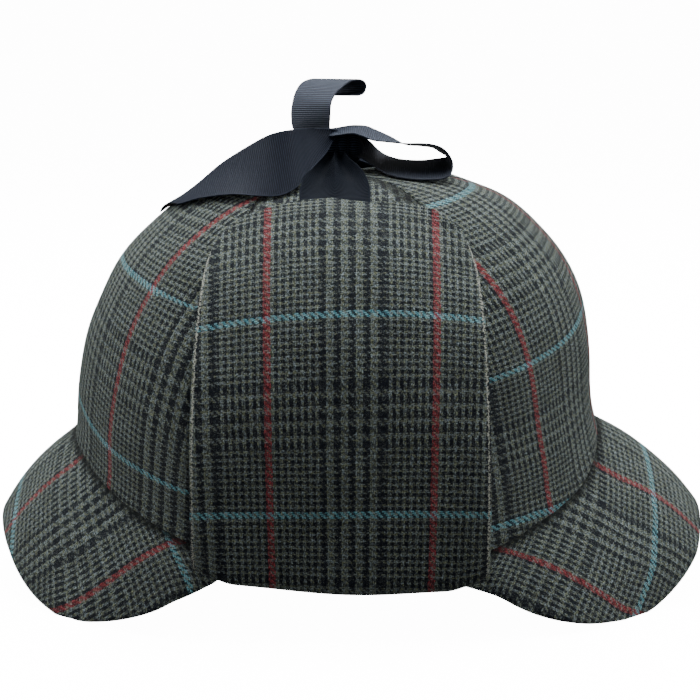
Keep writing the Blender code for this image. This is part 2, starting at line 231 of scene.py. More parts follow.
tweed, tree, shader = new_material("woollen_twill_glen_check")
uv = add_node(tree, UV_MAP, out="UV", uv_map=CLOTH_UV)
wander = add_node(tree, NOISE, {"Vector": uv, "Scale": WANDER_SCALE, "Detail": 2.0}, out="Color")
wander = add_node(tree, VECTOR_MATH, {0: wander, 1: (0.5, 0.5, 0.5)}, operation="SUBTRACT")
wander = add_node(tree, VECTOR_MATH, {0: wander, "Scale": WANDER}, operation="SCALE")
moved = add_node(tree, VECTOR_MATH, {0: uv, 1: wander}, operation="ADD")
across = add_node(tree, SEPARATE, {0: moved}, out="X")
across = add_node(tree, MATH, {0: across, 1: THREAD}, operation="DIVIDE")
along = add_node(tree, SEPARATE, {0: moved}, out="Y")
along = add_node(tree, MATH, {0: along, 1: THREAD}, operation="DIVIDE")
warp = add_node(tree, MATH, {0: across}, operation="FLOOR")
weft = add_node(tree, MATH, {0: along}, operation="FLOOR")
warp_light, warp_line = yarn_order(tree, warp, WARP_REPEAT)
weft_light, weft_line = yarn_order(tree, weft, WEFT_REPEAT)
step = add_node(tree, MATH, {0: warp, 1: weft}, operation="ADD")
step = add_node(tree, MATH, {0: step, 1: 4.0}, operation="FLOORED_MODULO")
warp_on_top = add_node(tree, MATH, {0: step, 1: 1.5}, operation="LESS_THAN")
print("nodes for the threads:", len(tree.nodes))

# %% [markdown]
# The wool is heathered: every yarn mixes fibres of several shades, so each colour is a pair,
# its darkest and its lightest fibre, and a fine noise turns one into the other. Loose hairs
# a few tenths of a millimetre apart blur one thread into the next.

# %% Tweed: the wool
YARNS = {
    "navy": ("#02040C", "#19212F"),
    "olive": ("#20251C", "#939A7E"),
    "grey": ("#222B30", "#9DACB2"),
    "red": ("#4E141B", "#B8545A"),
    "turquoise": ("#2F7C8E", "#A6E2EA"),
}

hairs = add_node(tree, NOISE, {"Vector": uv, "Scale": 1.5, "Detail": 3.0, "Roughness": 0.7})
hairs = add_node(tree, RANGE, {"Value": hairs, "From Min": 0.38, "From Max": 0.66})
heather = add_node(tree, NOISE, {"Vector": uv, "Scale": 0.9, "Detail": 2.0})
heather = add_node(tree, RANGE, {"Value": heather, "From Min": 0.4, "From Max": 0.6})
yarn = {name: add_node(tree, MIX, {0: hairs, 6: linear(low), 7: linear(high)}, **OF_COLOURS)
        for name, (low, high) in YARNS.items()}
pale = add_node(tree, MIX, {0: heather, 6: yarn["olive"], 7: yarn["grey"]}, **OF_COLOURS)

warp_colour = add_node(tree, MIX, {0: warp_light, 6: yarn["navy"], 7: pale}, **OF_COLOURS)
warp_colour = add_node(tree, MIX, {0: warp_line, 6: warp_colour, 7: yarn["red"]}, **OF_COLOURS)
weft_colour = add_node(tree, MIX, {0: weft_light, 6: yarn["navy"], 7: pale}, **OF_COLOURS)
weft_colour = add_node(
    tree, MIX, {0: weft_line, 6: weft_colour, 7: yarn["turquoise"]}, **OF_COLOURS)
print("yarns:", ", ".join(YARNS))

# %% [markdown]
# The warp is set closer than the weft, so some of it shows through everywhere, and the nap
# makes the share of each uneven. A thread is round, so it's lit in its middle and dark where
# it dips under. Single light hairs lie on top of the cloth, in short curved streaks.

# %% Tweed: the face of the cloth
FUZZ = 0.35
HAIR_COLOUR = "#868E88"

cover = add_node(tree, RANGE, {"Value": warp_on_top, "To Min": 0.34, "To Max": 0.95})
fuzz = add_node(tree, NOISE, {"Vector": uv, "Scale": 1.7, "Detail": 3.0, "Roughness": 0.8})
fuzz = add_node(tree, RANGE, {"Value": fuzz, "From Min": 0.3, "From Max": 0.7,
                              "To Min": -FUZZ, "To Max": FUZZ})
cover = add_node(tree, MATH, {0: cover, 1: fuzz}, operation="ADD", use_clamp=True)
colour = add_node(tree, MIX, {0: cover, 6: weft_colour, 7: warp_colour}, **OF_COLOURS)

round_warp = add_node(tree, MATH, {0: across, 1: 0.5}, operation="PINGPONG")
round_warp = add_node(tree, MATH, {0: round_warp, 1: warp_on_top}, operation="MULTIPLY")
weft_on_top = add_node(tree, MATH, {0: 1.0, 1: warp_on_top}, operation="SUBTRACT")
round_weft = add_node(tree, MATH, {0: along, 1: 0.5}, operation="PINGPONG")
round_weft = add_node(tree, MATH, {0: round_weft, 1: weft_on_top}, operation="MULTIPLY")
height = add_node(tree, MATH, {0: round_warp, 1: round_weft}, operation="ADD")
height = add_node(tree, MATH, {0: height, 1: 2.0}, operation="MULTIPLY")

tone = add_node(tree, NOISE, {"Vector": uv, "Scale": 0.09, "Detail": 3.0})
tone = add_node(tree, RANGE, {"Value": tone, "From Min": 0.3, "From Max": 0.7,
                              "To Min": 0.85, "To Max": 1.15})
shade = add_node(tree, RANGE, {"Value": height, "To Min": 0.42, "To Max": 1.32})
shade = add_node(tree, MATH, {0: shade, 1: tone}, operation="MULTIPLY")
colour = add_node(tree, VECTOR_MATH, {0: colour, "Scale": shade}, operation="SCALE")

streaks = add_node(tree, NOISE, {"Vector": uv, "Scale": 1.1, "Detail": 1.0, "Distortion": 2.5})
streaks = add_node(tree, RANGE, {"Value": streaks, "From Min": 0.6, "From Max": 0.64,
                                 "To Max": 0.4})
colour = add_node(tree, MIX, {0: streaks, 6: colour, 7: linear(HAIR_COLOUR)}, **OF_COLOURS)
print("nodes with the face:", len(tree.nodes))

# %% [markdown]
# Two things belong to a place on the hat and not to the cloth, so the pieces mark them with a
# number for each point. A light line is painted just inside the side edges of a flap, a painted
# highlight on its folded edge. And the seams, and the visors under the crown's rim, get painted
# shade where light doesn't reach.

# %% Tweed: edges, seams and finish
EDGE_HIGHLIGHT = 1.0        # millimetres from the flap's edge
EDGE_HIGHLIGHT_WIDTH = 0.6
EDGE_HIGHLIGHT_WANDER = 0.25
EDGE_HIGHLIGHT_COLOUR = "#A9ABA0"
SEAM_SHADOW_COLOUR = "#020306"

# Painted highlight: a thin light line just inside the flap's folded side edges, broken by the
# hairs.
edge = add_node(tree, ATTRIBUTE, out="Fac", attribute_name="edge_distance")
sway = add_node(tree, RANGE, {"Value": heather, "To Min": -EDGE_HIGHLIGHT_WANDER,
                              "To Max": EDGE_HIGHLIGHT_WANDER})
edge = add_node(tree, MATH, {0: edge, 1: sway}, operation="ADD")
edge = add_node(tree, MATH, {0: edge, 1: EDGE_HIGHLIGHT, 2: EDGE_HIGHLIGHT_WIDTH / 2},
                operation="COMPARE")
shown = add_node(tree, MATH, {0: hairs, 1: 0.35}, operation="GREATER_THAN")
edge = add_node(tree, MATH, {0: edge, 1: shown}, operation="MULTIPLY")
colour = add_node(tree, MIX, {0: edge, 6: colour, 7: linear(EDGE_HIGHLIGHT_COLOUR)}, **OF_COLOURS)
# Painted shade: darker towards the crown's seams, and on the visors under the crown's rim.
painted_shade = add_node(tree, ATTRIBUTE, out="Fac", attribute_name="painted_shade")
colour = add_node(tree, MIX, {0: painted_shade, 6: colour, 7: linear(SEAM_SHADOW_COLOUR)}, **OF_COLOURS)
tree.links.new(colour, shader.inputs["Base Color"])

relief = add_node(tree, MATH, {0: hairs, 1: 1.2}, operation="MULTIPLY")
relief = add_node(tree, MATH, {0: height, 1: relief}, operation="ADD")
bump = add_node(tree, BUMP, {"Height": relief, "Strength": 0.7, "Distance": 0.0002})
tree.links.new(bump, shader.inputs["Normal"])
# Wool scatters nearly all its light, with a faint glow from the hairs at a slant.
shader.inputs["Roughness"].default_value = 0.92
shader.inputs["Specular IOR Level"].default_value = 0.12
shader.inputs["Sheen Weight"].default_value = 0.08
shader.inputs["Sheen Roughness"].default_value = 0.5
shader.inputs["Sheen Tint"].default_value = linear("#C8CCC4")
print("tweed nodes:", len(tree.nodes))

# %% [markdown]
# The crown, the visors and the flaps already have their form as solids of flat facets. Real
# cloth has none, so each is copied, its facets joined to quads again and subdivided, with
# its sharp rims creased so that they stay thin but lose their edge.

# %% Cloth from a solid
RIM_ANGLE = math.radians(50)
RIM_CREASE = 0.55


def cloth_copy(node_name, piece_name, levels=2):
    """A smooth copy of a solid, as a new piece that stands for it."""
    solid = frame["nodes"][node_name]
    piece = bpy.data.objects.new(piece_name, solid.data.copy())
    bpy.context.scene.collection.objects.link(piece)
    bpy.ops.object.select_all(action="DESELECT")
    piece.select_set(True)
    bpy.context.view_layer.objects.active = piece
    bpy.ops.object.mode_set(mode="EDIT")
    bpy.ops.mesh.select_all(action="SELECT")
    bpy.ops.mesh.remove_doubles(threshold=0.00002)
    bpy.ops.mesh.tris_convert_to_quads(face_threshold=math.radians(45),
                                       shape_threshold=math.radians(60))
    bpy.ops.mesh.select_all(action="DESELECT")
    bpy.ops.mesh.select_mode(type="EDGE")
    bpy.ops.mesh.edges_select_sharp(sharpness=RIM_ANGLE)
    bpy.ops.transform.edge_crease(value=RIM_CREASE)
    bpy.ops.object.mode_set(mode="OBJECT")
    smooth = piece.modifiers.new("smooth", "SUBSURF")
    smooth.levels = levels
    smooth.render_levels = levels
    bpy.ops.object.modifier_apply(modifier="smooth")
    bpy.ops.object.shade_smooth()
    piece.data.materials.clear()
    piece.data.materials.append(tweed)
    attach(piece, "root")
    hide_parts(node_name)
    return piece


def points_of(piece):
    """The piece's points in millimetres, one row each."""
    flat = np.zeros(len(piece.data.vertices) * 3)
    piece.data.vertices.foreach_get("co", flat)
    return flat.reshape(-1, 3) / MM


def set_cloth_uv(piece, u, v):
    """Writes the cloth's own coordinates, in millimetres, to the piece's UV map."""
    mesh = piece.data
    while mesh.uv_layers:
        mesh.uv_layers.remove(mesh.uv_layers[0])
    layer = mesh.uv_layers.new(name=CLOTH_UV)
    corners = np.zeros(len(mesh.loops), dtype=np.int32)
    mesh.loops.foreach_get("vertex_index", corners)
    values = np.stack([np.asarray(u)[corners], np.asarray(v)[corners]], axis=1)
    layer.data.foreach_set("uv", values.astype(np.float32).ravel())


def set_mark(piece, name, values):
    """Writes one number for each point of the piece, which its material reads by name."""
    mark = piece.data.attributes.new(name, "FLOAT", "POINT")
    mark.data.foreach_set("value", np.asarray(values).astype(np.float32))


def declare_cloth(piece):
    """Reads a piece's cloth coordinates; nothing more is done with them."""
    uv = np.zeros(len(piece.data.loops) * 2, dtype=np.float32)
    piece.data.uv_layers[CLOTH_UV].data.foreach_get("uv", uv)


# %% [markdown]
# Each gore of the crown is cut so that its warp runs up its middle. Its cloth coordinates
# are the way round from its middle line and the way up from its rim. The check sits a
# little askew in every gore, as it does in a hat whose maker didn't match it at the seams.

# %% Crown
CROWN_X = -7.0
CROWN_LONG = 103.5
CROWN_WIDE = 82.0
RED_WARP = (COARSE_THREADS + WARP_REPEAT) / 2 * THREAD
BLUE_WEFT = (COARSE_THREADS + WEFT_REPEAT) / 2 * THREAD
WEFT_LENGTH = WEFT_REPEAT * THREAD


def round_and_up(points, middle):
    """Way round from a gore's middle azimuth, and way up, both in millimetres."""
    east = (points[:, 0] - CROWN_X) / CROWN_LONG
    north = points[:, 1] / CROWN_WIDE
    turn = np.degrees(np.arctan2(north, east)) - middle
    turn = (turn + 180.0) % 360.0 - 180.0
    radius = np.hypot(points[:, 0] - CROWN_X, points[:, 1])
    out = np.hypot(east, north)
    rise = points[:, 2]
    up = np.where(rise < 120.0, rise - 25.0, 95.0 + np.hypot(rise - 120.0, (0.9 - out) * 92.0))
    return np.radians(turn) * radius, up


# Where the check lies on a gore: middle azimuth, way that counts as forward, way round of
# the red line and its lean, way up of two turquoise lines and the slope of each. The next
# line below them is LINE_BELOW away, because the cloth is eased in towards the rim.
GORES = {
    "crown_panel_front_right": (-30.0, 1.0, -20.0, -0.075, 78.0, 143.0, -0.33, -0.15),
    "crown_panel_back_right": (-150.0, 1.0, 11.0, 0.075, 42.5, 104.5, 0.45, 0.25),
    "crown_panel_front_left": (30.0, -1.0, -6.0, -0.05, 60.0, 128.0, -0.20, -0.15),
    "crown_panel_back_left": (150.0, -1.0, 16.0, 0.05, 52.0, 120.0, 0.20, 0.15),
    "crown_panel_side_right": (-90.0, 1.0, 0.0, 0.0, 40.0, 111.0, 0.0, 0.0),
    "crown_panel_side_left": (90.0, -1.0, 0.0, 0.0, 40.0, 111.0, 0.0, 0.0),
}
LINE_BELOW = 57.0
GORE_EASE = 1.12

SEAM_REACH = 0.75
SEAM_DIP = 0.9
LIP_HEIGHT = 9.0
LIP_OUT = 1.3
LIP_DOWN = 1.8
SEAM_SHADE = 0.7
# The crown is a little fuller in front of its top: how much, its middle and its half widths.
FULLNESS = 2.0
FULL_X, FULL_HALF_X = 26.0, 20.0
FULL_Y, FULL_HALF_Y = 14.0, 16.0


def set_points(piece, points):
    """Moves the piece's points to new places, given in millimetres."""
    piece.data.vertices.foreach_set("co", (points * MM).astype(np.float32).ravel())
    piece.data.update()


def soft_dents(points, depth):
    """A gentle unevenness, the same at a place whichever piece it belongs to."""
    x, y, z = points.T
    return depth * (np.sin(x / 9.0 + 1.3 * np.sin(z / 17.0)) * np.sin(z / 11.0 + y / 13.0)
                    + 0.6 * np.sin(x / 21.0 - z / 15.0 + 2.0) * np.sin(y / 19.0 + x / 31.0))


def close_seams(piece, middle):
    """Brings a gore's edges to its seams, sinks them, and turns its rim out over the visor."""
    points = points_of(piece)
    turn = np.degrees(np.arctan2(points[:, 1] / CROWN_WIDE, (points[:, 0] - CROWN_X) / CROWN_LONG))
    offset = ((turn - middle + 180.0) % 360.0 - 180.0) / 30.0
    offset = np.clip(offset, -1.0, 1.0)
    out = np.stack([points[:, 0] - CROWN_X, points[:, 1]], axis=1)
    length = np.maximum(np.hypot(out[:, 0], out[:, 1]), 0.01)
    out = out / length[:, None]
    side = np.stack([-out[:, 1], out[:, 0]], axis=1)
    to_seam = length * np.radians(30.0) * (1.0 - np.abs(offset))
    reach = SEAM_REACH * np.sign(offset) * np.exp(-(to_seam / 3.0) ** 2)
    dip = -SEAM_DIP * np.abs(offset) ** 20 * np.clip(length / 30.0, 0.0, 1.0)
    bins = np.clip(((offset + 1.0) * 12).astype(int), 0, 24)
    lowest = np.full(25, 1000.0)
    np.minimum.at(lowest, bins, points[:, 2])
    rise = points[:, 2] - np.interp((offset + 1.0) * 12, np.arange(25) + 0.5, lowest)
    lip = np.clip(1.0 - rise / LIP_HEIGHT, 0.0, 1.0) ** 2
    points[:, :2] += side * reach[:, None] + out * (dip + LIP_OUT * lip + soft_dents(points, 0.35)
                                                    * (1.0 - lip))[:, None]
    points[:, 2] += FULLNESS * (np.exp(-((points[:, 0] - FULL_X) / FULL_HALF_X) ** 4)
                                * np.exp(-((points[:, 1] - FULL_Y) / FULL_HALF_Y) ** 2)
                                * np.clip((points[:, 2] - 120.0) / 20.0, 0.0, 1.0))
    points[:, 2] -= LIP_DOWN * lip
    set_points(piece, points)
    # Painted shade along the seams, darker the nearer a point is to a seam.
    set_mark(piece, "painted_shade", SEAM_SHADE * np.exp(-to_seam / 0.8))
    return points[rise < 1.0]


rim_points = []
for node, (middle, sense, red, lean, low, high, slope_low, slope_high) in GORES.items():
    panel = cloth_copy(node, node.replace("crown_panel", "gore"))
    way_round, up = round_and_up(points_of(panel), middle)
    rim_points.append(close_seams(panel, middle))
    way_round = way_round * sense
    share = (up - low) / np.where(up > low, high - low, LINE_BELOW)
    slope = slope_low * (1.0 + 0.35 * np.clip(share, -1.0, 0.0))
    slope = slope + (slope_high - slope_low) * np.clip(share, 0.0, None)
    set_cloth_uv(panel, GORE_EASE * (way_round - red - lean * (up - 35.0)) + RED_WARP,
                 WEFT_LENGTH * share + slope * way_round + BLUE_WEFT)
    declare_cloth(panel)

# %% [markdown]
# An ear flap is folded up from the rim and lies over the crown, so it shows its own cloth
# the right way up: the red lines stand, the turquoise ones lie level.

# %% Ear flaps
FLAP_CHECK_X = 0.7
FLAP_CHECK_Z = 85.0
FLAP_SPREAD = 0.0006
LEVEL_STEP = 2.0
CORNER_HEIGHT = 22.0
CORNER_WIDTH = 13.0
CORNER_LIFT = 6.5
FLAP_TILT = 0.045
# The tip lies pressed on the crown, and its edge isn't straight: by x, how far it is cut back.
TIP_Y = 39.5
TIP_REACH = 28.0
TIP_GAP = 0.9
TIP_THINNING = 0.53
TIP_STOOD_OFF = 3.2
TIP_CUT_X = (-34.0, -19.0, -7.0, 7.0, 22.0, 34.0)
TIP_CUT = (3.2, 1.8, 0.1, -2.6, -0.6, 1.0)


def side_distance(x, z):
    """How far each point is from the nearer side edge, in millimetres."""
    levels = np.clip((z / LEVEL_STEP).astype(int), 0, 89)
    widest, narrowest = np.full(90, -1000.0), np.full(90, 1000.0)
    np.maximum.at(widest, levels, x)
    np.minimum.at(narrowest, levels, x)
    padded = [np.pad(row, 2, mode="edge") for row in (widest, narrowest)]
    widest = np.max([padded[0][i:i + 90] for i in range(5)], axis=0)
    narrowest = np.min([padded[1][i:i + 90] for i in range(5)], axis=0)
    used = widest > -999.0
    heights = (np.arange(90)[used] + 0.5) * LEVEL_STEP
    weights = np.exp(-((heights[:, None] - heights[None, :]) / 6.0) ** 2)
    weights = weights / weights.sum(axis=1, keepdims=True)
    right = np.interp(z, heights, weights @ widest[used])
    left = np.interp(z, heights, weights @ narrowest[used])
    return np.minimum(right - x, x - left)


def way_up_flap(points):
    """The way along a flap from its fold, in millimetres, by its height."""
    rise = points[:, 2]
    out = np.abs(points[:, 1])
    bend = np.clip((82.0 - out) / 50.0, 0.0, 1.0)
    return rise + 34.0 * bend ** 1.6


crown_trees = [BVHTree.FromPolygons([v.co.copy() for v in gore.data.vertices],
                                    [tuple(face.vertices) for face in gore.data.polygons])
               for gore in bpy.data.objects if gore.name.startswith("gore_")]


def crown_height(x, y):
    """How high the crown is at a place, in millimetres, or None outside it."""
    start = Vector((x * MM, y * MM, 1.0))
    hits = [tree.ray_cast(start, Vector((0.0, 0.0, -1.0)))[0] for tree in crown_trees]
    return max((hit.z / MM for hit in hits if hit is not None), default=None)


def press_tip(points):
    """The flap's points with its tip pressed down on the crown and cut to its real edge."""
    pressed = points.copy()
    for i, (x, y, z) in enumerate(points):
        near_tip = (TIP_Y + TIP_REACH - abs(y)) / TIP_REACH
        below = crown_height(x, y)
        if near_tip <= 0.0 or below is None:
            continue
        near_tip = min(near_tip, 1.0)
        new_y = y + math.copysign(np.interp(x, TIP_CUT_X, TIP_CUT) * near_tip ** 2, y)
        stood_off = z - below
        close = TIP_GAP + TIP_THINNING * (stood_off - TIP_STOOD_OFF)
        weight = near_tip ** 2 * (3.0 - 2.0 * near_tip)
        pressed[i, 1] = new_y
        pressed[i, 2] = crown_height(x, new_y) + stood_off + (close - stood_off) * weight
    return pressed


for side, check_x in (("right", FLAP_CHECK_X), ("left", -12.0)):
    flap = cloth_copy("ear_flap_" + side, "flap_" + side)
    points = press_tip(points_of(flap))
    x, z = points[:, 0], points[:, 2]
    u = (x - check_x) / (1.0 + FLAP_SPREAD * (z - 80.0))
    droop = np.clip((z - 50.0) / 65.0, 0.0, 1.0)
    v = way_up_flap(points) + droop * (0.0011 * x ** 2 - 0.035 * x) - FLAP_CHECK_Z
    set_cloth_uv(flap, u + COARSE_THREADS / 2 * THREAD, v + COARSE_THREADS / 2 * THREAD)
    to_edge = side_distance(x, z)
    set_mark(flap, "edge_distance", to_edge)
    low = np.clip(1.0 - (z - z.min()) / CORNER_HEIGHT, 0.0, 1.0)
    corner = np.clip(1.0 - to_edge / CORNER_WIDTH, 0.0, 1.0)
    moved = points.copy()
    moved[:, 1] += np.sign(points[:, 1]) * (
        soft_dents(points, 0.3) + 0.5 * np.exp(-((to_edge - 4.0) / 2.5) ** 2) - 0.4)
    moved[:, 2] += CORNER_LIFT * low * corner ** 1.5 - FLAP_TILT * (x + 10.0) * low
    set_points(flap, moved)
    declare_cloth(flap)

# %% [markdown]
# A visor is a crescent of the same cloth, cut with its warp from front to back and stitched
# over a stiffening. Unwrapping would lay it flat again, but its two halves would then skew the
# check. A sum for each point keeps the red lines straight: the way across the visor's bend
# counts threads of warp, and the way forward counts threads of weft.

# %% Visors
TUCK = 1.6
SIDE_EASE = 1.19
HORN_LENGTH = 15.0
HORN_DROP = 6.0
HORN_REACH = 4.0
RIM_SHADE = 0.85
RIM_SHADE_WIDTH = 2.4

# Where each visor's cloth lies: the way that is forward, the distance of its near red line
# from the middle, the place of its outer turquoise line, the closeness of its weft, where
# its horns end and how far its corners are cut in.
VISORS = {
    "visor_front": (1.0, 32.6, 118.5, 1.2, 41.0, 4.0),
    "visor_back": (-1.0, 31.0, 132.7, 1.365, 50.8, -2.0),
}
rim = np.concatenate(rim_points)
for node, (sense, red, blue, ease, horn_end, corner_in) in VISORS.items():
    visor = cloth_copy(node, node.replace("visor", "peak"))
    points = points_of(visor)
    x, y, z = points[:, 0] * sense, points[:, 1], points[:, 2]
    far = np.abs(y)
    lateral = np.hypot(y, np.clip(60.0 - z, 0.0, None) * np.clip(far / 50.0, 0.0, 1.0))
    lateral = lateral + 0.14 * (104.0 - x) * (far / 70.0) ** 2
    lateral = lateral + 0.15 * np.clip(x - 105.0, 0.0, None) * np.clip(far / 30.0, 0.0, 1.0)
    forward = x + 0.009 * np.clip(far - 30.0, 0.0, None) ** 2
    set_cloth_uv(visor, SIDE_EASE * (np.sign(y) * lateral + red) * sense + RED_WARP,
                 ease * (forward - blue) + BLUE_WEFT)
    moved = points.copy()
    reach = np.hypot((points[:, 0] - CROWN_X) / CROWN_LONG, points[:, 1] / CROWN_WIDE)
    tuck = np.clip(1.0 - (reach - 0.98) / 0.08, 0.0, 1.0) ** 2
    moved[:, 2] += TUCK * tuck + soft_dents(points, 0.25) * (1.0 - tuck) * np.clip(
        z / 10.0, 0.0, 1.0)
    to_rim = np.array([np.sqrt(((rim - point) ** 2).sum(axis=1).min()) for point in moved])
    # Painted shadow: the visor is darker near the crown's rim, where the rim's lip shades it.
    set_mark(visor, "painted_shade", RIM_SHADE * np.clip(1.5 - to_rim / RIM_SHADE_WIDTH, 0.0, 1.0))
    # The horns run on under the ear flaps, and the outer corners are cut in a little.
    horn = np.clip(1.0 - (x - horn_end) / HORN_LENGTH, 0.0, 1.0) ** 1.5
    moved[:, 2] -= HORN_DROP * horn
    corner = np.clip((x - 85.0) / 25.0, 0.0, 1.0) * np.clip(1.0 - z / 16.0, 0.0, 1.0)
    moved[:, 0] -= sense * (HORN_REACH * horn + corner_in * corner)
    set_points(visor, moved)
    declare_cloth(visor)

# %% [markdown]
# The ribbon is black grosgrain, 25 mm wide: a thick weft in a fine silky warp makes ribs
# straight across it, a little under a millimetre apart. It is the ribs that catch the light.
# The material reads the ribbon's own coordinates: millimetres across it and along it.

# %% Grosgrain
RIBBON_WIDTH = 25.0
RIB_SPACING = 0.82
SELVEDGE = 0.5
SELVEDGE_COLOUR = "#222833"
RIBBON_SHADOW_COLOUR = "#010203"


def make_grosgrain(name, lustre, hollow, top):
    """Ribbed polyester ribbon: near-black, with a blue-grey sheen on the tops of its ribs."""
    material, tree, shader = new_material(name)
    uv = add_node(tree, UV_MAP, out="UV", uv_map=CLOTH_UV)
    rib = add_node(tree, SEPARATE, {0: uv}, out="Y")
    rib = add_node(tree, MATH, {0: rib, 1: RIB_SPACING}, operation="DIVIDE")
    rib = add_node(tree, MATH, {0: rib, 1: 0.5}, operation="PINGPONG")
    rib = add_node(tree, RANGE, {"Value": rib, "From Max": 0.5}, interpolation_type="SMOOTHSTEP")
    edge = add_node(tree, SEPARATE, {0: uv}, out="X")
    edge = add_node(tree, MATH, {0: edge, 1: RIBBON_WIDTH / 2}, operation="SUBTRACT")
    edge = add_node(tree, MATH, {0: edge}, operation="ABSOLUTE")
    edge = add_node(tree, MATH, {0: edge, 1: RIBBON_WIDTH / 2 - SELVEDGE},
                    operation="GREATER_THAN")
    silk = add_node(tree, NOISE, {"Vector": uv, "Scale": 1.4, "Detail": 3.0})
    silk = add_node(tree, RANGE, {"Value": silk, "From Min": 0.3, "From Max": 0.7,
                                  "To Min": 0.75, "To Max": 1.1})
    colour = add_node(tree, MIX, {0: rib, 6: linear(hollow), 7: linear(top)}, **OF_COLOURS)
    colour = add_node(tree, MIX, {0: edge, 6: colour, 7: linear(SELVEDGE_COLOUR)}, **OF_COLOURS)
    colour = add_node(tree, VECTOR_MATH, {0: colour, "Scale": silk}, operation="SCALE")
    # Painted shade: a mark for each point darkens the ribbon where it lies in the shade of the
    # bow.
    painted_shade = add_node(tree, ATTRIBUTE, out="Fac", attribute_name="painted_shade")
    colour = add_node(tree, MIX, {0: painted_shade, 6: colour, 7: linear(RIBBON_SHADOW_COLOUR)}, **OF_COLOURS)
    tree.links.new(colour, shader.inputs["Base Color"])
    relief = add_node(tree, MATH, {0: rib, 1: edge}, operation="MAXIMUM")
    bump = add_node(tree, BUMP, {"Height": relief, "Strength": 0.7, "Distance": 0.00016})
    tree.links.new(bump, shader.inputs["Normal"])
    shader.inputs["Roughness"].default_value = 0.55
    shader.inputs["Specular IOR Level"].default_value = lustre
    shader.inputs["Specular Tint"].default_value = linear("#C2CCE6")
    shader.inputs["Sheen Weight"].default_value = 0.04
    shader.inputs["Sheen Tint"].default_value = linear("#AAB4C8")
    return material


grosgrain = make_grosgrain("black_grosgrain", 0.58, "#05070C", "#3A4352")
# A darker copy of the same ribbon for the roots and the knot, which lie in the shade of the bow:
# painted shade in its colour, and it hardly shines.
grosgrain_shaded = make_grosgrain("black_grosgrain_painted_shade", 0.03, "#000102", "#2A313E")
# A darker copy for the long tail, which is turned from the light: painted shade in its colour, and
# its ribs shine less.
grosgrain_tail_shaded = make_grosgrain("black_grosgrain_tail_painted_shade", 0.13, "#04060B", "#232936")
print("grosgrain nodes:", len(grosgrain.node_tree.nodes), "ribs", RIB_SPACING, "mm apart")

# %% [markdown]
# A ribbon is a developable strip, so the honest way to shape it is to say where its two
# selvedges run and to stretch the strip between them. A grid of the right number of faces
# is added, its points are set row by row along a smooth curve through the stations, and
# folds are pressed into it where it is gathered towards the knot.

# %% Ribbon strips
RIBBON_WALL = 0.45


def smooth_between(rows, share):
    """The columns of a table at a share of its length, by a smooth curve through its rows."""
    place = share * (len(rows) - 1)
    low = min(int(place), len(rows) - 2)
    t = place - low
    p0, p1 = rows[max(low - 1, 0)], rows[low]
    p2, p3 = rows[low + 1], rows[min(low + 2, len(rows) - 1)]
    return [0.5 * (2 * b + (c - a) * t + (2 * a - 5 * b + 4 * c - d) * t ** 2
                   + (3 * b - a - 3 * c + d) * t ** 3)
            for a, b, c, d in zip(p0, p1, p2, p3)]


def make_ribbon(name, stations, columns, rows, folds, material,
                shade=((0.0, 0.0), (1.0, 0.0))):
    """A strip through stations: x, y, z of one selvedge, of the other, and the fold depth."""
    bpy.ops.object.select_all(action="DESELECT")
    bpy.ops.mesh.primitive_grid_add(x_subdivisions=columns, y_subdivisions=rows, size=1.0)
    strip = bpy.context.object
    strip.name = name
    mesh = strip.data
    shares = [(v.co.x + 0.5, v.co.y + 0.5) for v in mesh.vertices]
    lengths = [0.0]
    for row in range(rows):
        a, b = (smooth_between(stations, (row + i) / rows) for i in (0, 1))
        middle_a = Vector([(a[i] + a[i + 3]) / 2 for i in range(3)])
        middle_b = Vector([(b[i] + b[i + 3]) / 2 for i in range(3)])
        lengths.append(lengths[-1] + (middle_b - middle_a).length)
    across_mm, along_mm = [], []
    for vertex, (across, along) in zip(mesh.vertices, shares):
        here = smooth_between(stations, along)
        ahead = smooth_between(stations, min(along + 0.01, 1.0))
        behind = smooth_between(stations, max(along - 0.01, 0.0))
        near, far = Vector(here[0:3]), Vector(here[3:6])
        heading = (Vector(ahead[0:3]) + Vector(ahead[3:6])
                   - Vector(behind[0:3]) - Vector(behind[3:6]))
        out = heading.cross(far - near).normalized()
        depth = here[6] * (abs(math.sin(folds * math.pi * across)) ** 0.8 - 0.5)
        vertex.co = (near.lerp(far, across) + out * depth) * MM
        across_mm.append(across * RIBBON_WIDTH)
        along_mm.append(lengths[round(along * rows)])
    set_cloth_uv(strip, across_mm, along_mm)
    # Painted shade, as a mark along the strip; none unless a piece asks for it.
    set_mark(strip, "painted_shade", np.interp([along for _, along in shares], *zip(*shade)))
    wall = strip.modifiers.new("wall", "SOLIDIFY")
    wall.thickness = RIBBON_WALL * MM
    wall.offset = 0.0
    bpy.ops.object.modifier_apply(modifier="wall")
    bpy.ops.object.shade_smooth_by_angle(angle=math.radians(40))
    mesh.materials.append(material)
    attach(strip, "root")
    print(name, "length", round(lengths[-1], 1), "mm")
    return strip


# %% [markdown]
# The near root is the ribbon that is sewn under the tip of the near ear flap. It comes out
# from under the tip at its full width and is gathered into two plump folds on its way up to
# the knot. The far root does the same on the far side.

